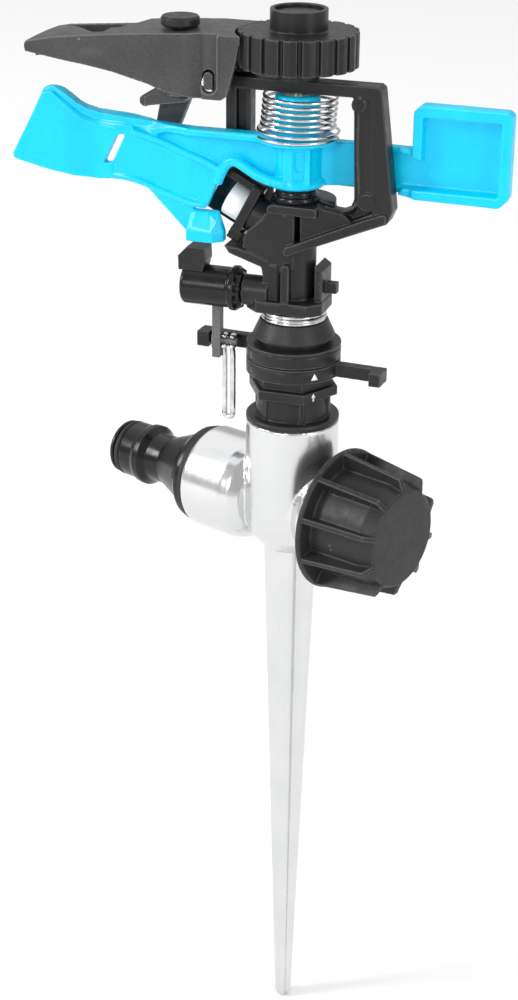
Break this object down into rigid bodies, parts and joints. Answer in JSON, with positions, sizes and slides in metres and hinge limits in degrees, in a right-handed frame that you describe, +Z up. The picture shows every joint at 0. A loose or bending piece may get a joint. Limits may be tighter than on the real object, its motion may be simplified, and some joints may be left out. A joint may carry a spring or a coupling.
{
  "type": "impact sprinkler",
  "caption": "Part-circle impact sprinkler with a swinging hammer on a sprung pin, jet flap and trip stops, on a die-cast ground spike with hose nipple and end cap.",
  "frame": {"origin": "on the vertical axis at the spike's shoulder, where the cast body meets the spike", "axes": "+Z up the vertical axis; +X along the bridge towards the hammer's counterweight, so the jet leaves towards -X"},
  "size_m": [0.1334, 0.056, 0.2968],
  "materials": {
    "zinc": "polished die-cast zinc, mirror bright",
    "black_plastic": "moulded black plastic, fine grain, low sheen",
    "grey_black_plastic": "moulded dark grey plastic, fine grain",
    "blue_plastic": "moulded sky-blue plastic, satin",
    "white_plastic": "white acetal, smooth",
    "natural_plastic": "natural acetal",
    "rubber": "black rubber",
    "steel": "drawn stainless steel, bright",
    "grey_plastic": "worn grey-black plastic, coarse grain"
  },
  "bodies": {
    "base": {"spike_body": "zinc", "bearing_nipple": "black_plastic", "nipple_seal": "rubber", "dust_cone": "black_plastic", "hose_nipple": "black_plastic", "hose_o_ring": "rubber", "hose_gasket": "rubber"},
    "upper_stop": {"upper_stop": "black_plastic"},
    "lower_stop": {"lower_stop": "black_plastic"},
    "head": {"stem_tube": "black_plastic", "thrust_washers": "natural_plastic", "stem_seal": "rubber", "bearing_spring": "steel", "head_body": "black_plastic", "nozzle_insert": "white_plastic", "nozzle_holder": "black_plastic", "hammer_pin": "steel", "hammer_washers": "black_plastic", "trip_axle": "steel", "flap_pin": "steel"},
    "hammer": {"hammer": "blue_plastic", "hammer_sleeve": "natural_plastic", "hammer_spring": "steel"},
    "tension_wheel": {"tension_wheel": "black_plastic", "wheel_cap": "black_plastic"},
    "flap": {"flap": "grey_black_plastic", "jet_breaker": "grey_black_plastic"},
    "flap_screw": {"flap_screw": "black_plastic"},
    "trip": {"trip_barrel": "black_plastic", "trip_spring": "steel", "trip_lever": "grey_plastic", "reversing_block": "black_plastic"},
    "trip_wire": {"trip_wire": "steel"},
    "cap_gasket": {"cap_gasket": "rubber"},
    "outlet_cap": {"outlet_cap": "black_plastic"}
  },
  "joints": [
    {"name": "head_turn", "type": "hinge", "parent": "base", "child": "head", "pos_m": [0, 0, 0.07], "axis": [0, 0, 1], "continuous": true},
    {"name": "upper_stop_turn", "type": "hinge", "parent": "base", "child": "upper_stop", "pos_m": [0, 0, 0.058], "axis": [0, 0, 1], "continuous": true},
    {"name": "lower_stop_turn", "type": "hinge", "parent": "base", "child": "lower_stop", "pos_m": [0, 0, 0.0538], "axis": [0, 0, 1], "continuous": true},
    {"name": "hammer_swing", "type": "hinge", "parent": "head", "child": "hammer", "pos_m": [0, 0, 0.108], "axis": [0, 0, 1], "range_deg": [0, 75], "stiffness_Nm_per_rad": 0.012, "springref_deg": -34.38},
    {"name": "tension_wheel_turn", "type": "hinge", "parent": "head", "child": "tension_wheel", "pos_m": [0, 0, 0.136], "axis": [0, 0, 1], "range_deg": [-120, 120]},
    {"name": "flap_tilt", "type": "hinge", "parent": "head", "child": "flap", "pos_m": [-0.0207, 0, 0.1276], "axis": [0, 1, 0], "range_deg": [-7, 0]},
    {"name": "flap_screw_turn", "type": "hinge", "parent": "flap", "child": "flap_screw", "pos_m": [-0.0293, -0.0045, 0.14], "axis": [0, 0, 1], "range_deg": [-180, 180]},
    {"name": "trip_swing", "type": "hinge", "parent": "head", "child": "trip", "pos_m": [-0.022, -0.0035, 0.0736], "axis": [1, 0, 0], "range_deg": [-16, 2]},
    {"name": "trip_wire_lift", "type": "hinge", "parent": "trip", "child": "trip_wire", "pos_m": [-0.0167, -0.0035, 0.0588], "axis": [1, 0, 0], "range_deg": [-150, 0]},
    {"name": "cap_travel", "type": "slide", "parent": "base", "child": "cap_gasket", "axis": [0.9336, -0.3584, 0], "range_m": [0, 0.00545]},
    {"name": "cap_turn", "type": "hinge", "parent": "cap_gasket", "child": "outlet_cap", "pos_m": [0.02427, -0.00932, 0.0136], "axis": [0.9336, -0.3584, 0], "range_deg": [0, 1080]}
  ],
  "couplings": [
    {"joint": "cap_travel", "follows": "cap_turn", "m_per_rad": 0.00028871}
  ]
}
